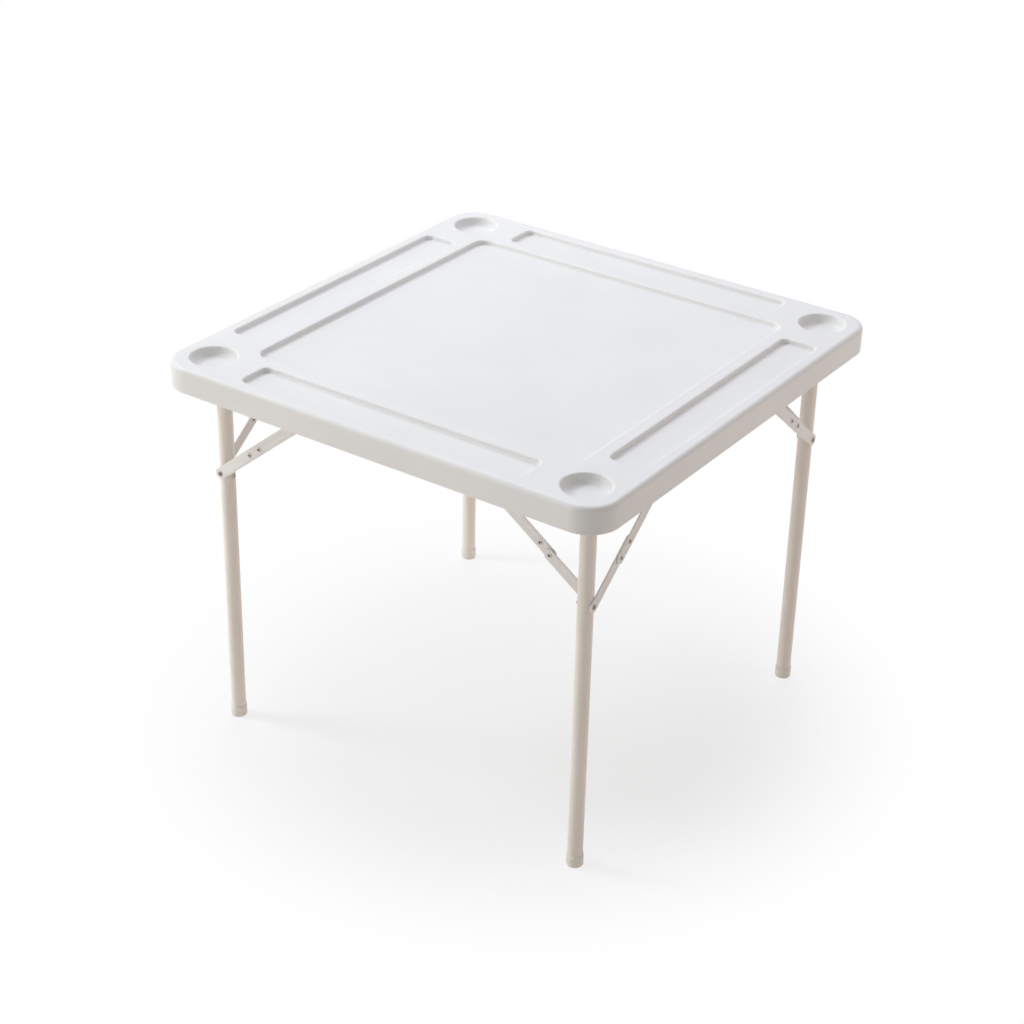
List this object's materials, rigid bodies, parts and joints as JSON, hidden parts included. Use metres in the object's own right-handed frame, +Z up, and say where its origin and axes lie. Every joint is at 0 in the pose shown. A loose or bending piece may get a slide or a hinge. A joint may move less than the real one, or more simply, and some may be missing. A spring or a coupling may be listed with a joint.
{
  "type": "folding game table",
  "caption": "Square folding game table: moulded top with recessed field, tile trays and cup holders on braced tubular leg frames that fold flat.",
  "frame": {"origin": "on the floor under the middle of the table top", "axes": "+Z up; X from the left leg frame to the right one, across the folding axes; the front faces -Y"},
  "size_m": [0.86, 0.86, 0.709],
  "materials": {
    "top_plastic": "satin moulded",
    "base_plastic": "matt moulded",
    "powder_coat": "satin powder coat",
    "zinc": "zinc plated",
    "foot_plastic": "matt moulded",
    "saddle_plastic": "matt moulded"
  },
  "bodies": {
    "top": {"top_shell": "top_plastic", "base_shell": "base_plastic", "shell_screws": "zinc", "hinge_saddle_left_front": "saddle_plastic", "hinge_saddle_left_back": "saddle_plastic", "hinge_saddle_right_front": "saddle_plastic", "hinge_saddle_right_back": "saddle_plastic", "saddle_screws": "zinc", "brace_bracket_left_front": "powder_coat", "brace_bracket_left_back": "powder_coat", "brace_bracket_right_front": "powder_coat", "brace_bracket_right_back": "powder_coat", "bracket_screws": "zinc", "bracket_pins": "zinc"},
    "frame_left": {"leg_left_front": "powder_coat", "foot_left_front": "foot_plastic", "leg_plug_left_front": "foot_plastic", "stiffener_lower_left_front": "powder_coat", "stiffener_upper_left_front": "powder_coat", "leg_left_back": "powder_coat", "foot_left_back": "foot_plastic", "leg_plug_left_back": "foot_plastic", "stiffener_lower_left_back": "powder_coat", "stiffener_upper_left_back": "powder_coat", "crossbar_left": "powder_coat", "brace_pins_left": "zinc", "stiffener_rivets_left": "zinc"},
    "frame_right": {"leg_right_front": "powder_coat", "foot_right_front": "foot_plastic", "leg_plug_right_front": "foot_plastic", "stiffener_lower_right_front": "powder_coat", "stiffener_upper_right_front": "powder_coat", "leg_right_back": "powder_coat", "foot_right_back": "foot_plastic", "leg_plug_right_back": "foot_plastic", "stiffener_lower_right_back": "powder_coat", "stiffener_upper_right_back": "powder_coat", "crossbar_right": "powder_coat", "brace_pins_right": "zinc", "stiffener_rivets_right": "zinc"},
    "lower_link_left_front": {"brace_lower_left_front": "powder_coat", "elbow_rivet_lower_left_front": "zinc"},
    "upper_link_left_front": {"brace_upper_left_front": "powder_coat", "elbow_rivet_upper_left_front": "zinc"},
    "lower_link_left_back": {"brace_lower_left_back": "powder_coat", "elbow_rivet_lower_left_back": "zinc"},
    "upper_link_left_back": {"brace_upper_left_back": "powder_coat", "elbow_rivet_upper_left_back": "zinc"},
    "lower_link_right_front": {"brace_lower_right_front": "powder_coat", "elbow_rivet_lower_right_front": "zinc"},
    "upper_link_right_front": {"brace_upper_right_front": "powder_coat", "elbow_rivet_upper_right_front": "zinc"},
    "lower_link_right_back": {"brace_lower_right_back": "powder_coat", "elbow_rivet_lower_right_back": "zinc"},
    "upper_link_right_back": {"brace_upper_right_back": "powder_coat", "elbow_rivet_upper_right_back": "zinc"}
  },
  "joints": [
    {"name": "left_fold", "type": "hinge", "parent": "top", "child": "frame_left", "pos_m": [-0.361, 0, 0.669], "axis": [0, -1, 0], "range_deg": [0, 90]},
    {"name": "left_front_upper_link", "type": "hinge", "parent": "top", "child": "upper_link_left_front", "pos_m": [-0.149, -0.3698, 0.669], "axis": [0, 1, 0], "range_deg": [0, 39.54]},
    {"name": "left_front_lower_link", "type": "hinge", "parent": "frame_left", "child": "lower_link_left_front", "pos_m": [-0.361, -0.3658, 0.494], "axis": [0, -1, 0], "range_deg": [0, 50.47]},
    {"name": "left_back_upper_link", "type": "hinge", "parent": "top", "child": "upper_link_left_back", "pos_m": [-0.149, 0.3272, 0.669], "axis": [0, 1, 0], "range_deg": [0, 39.54]},
    {"name": "left_back_lower_link", "type": "hinge", "parent": "frame_left", "child": "lower_link_left_back", "pos_m": [-0.361, 0.3312, 0.494], "axis": [0, -1, 0], "range_deg": [0, 50.47]},
    {"name": "right_fold", "type": "hinge", "parent": "top", "child": "frame_right", "pos_m": [0.361, 0, 0.637], "axis": [0, 1, 0], "range_deg": [0, 90]},
    {"name": "right_front_upper_link", "type": "hinge", "parent": "top", "child": "upper_link_right_front", "pos_m": [0.151, -0.3272, 0.637], "axis": [0, -1, 0], "range_deg": [0, 35.18]},
    {"name": "right_front_lower_link", "type": "hinge", "parent": "frame_right", "child": "lower_link_right_front", "pos_m": [0.361, -0.3312, 0.489], "axis": [0, 1, 0], "range_deg": [0, 54.83]},
    {"name": "right_back_upper_link", "type": "hinge", "parent": "top", "child": "upper_link_right_back", "pos_m": [0.151, 0.3698, 0.637], "axis": [0, -1, 0], "range_deg": [0, 35.18]},
    {"name": "right_back_lower_link", "type": "hinge", "parent": "frame_right", "child": "lower_link_right_back", "pos_m": [0.361, 0.3658, 0.489], "axis": [0, 1, 0], "range_deg": [0, 54.83]}
  ],
  "couplings": [
    {"joint": "left_front_upper_link", "follows": "left_fold", "ratio": 0.43932},
    {"joint": "left_front_lower_link", "follows": "left_fold", "ratio": 0.56068},
    {"joint": "left_back_upper_link", "follows": "left_fold", "ratio": 0.43932},
    {"joint": "left_back_lower_link", "follows": "left_fold", "ratio": 0.56068},
    {"joint": "right_front_upper_link", "follows": "right_fold", "ratio": 0.39083},
    {"joint": "right_front_lower_link", "follows": "right_fold", "ratio": 0.60917},
    {"joint": "right_back_upper_link", "follows": "right_fold", "ratio": 0.39083},
    {"joint": "right_back_lower_link", "follows": "right_fold", "ratio": 0.60917}
  ]
}
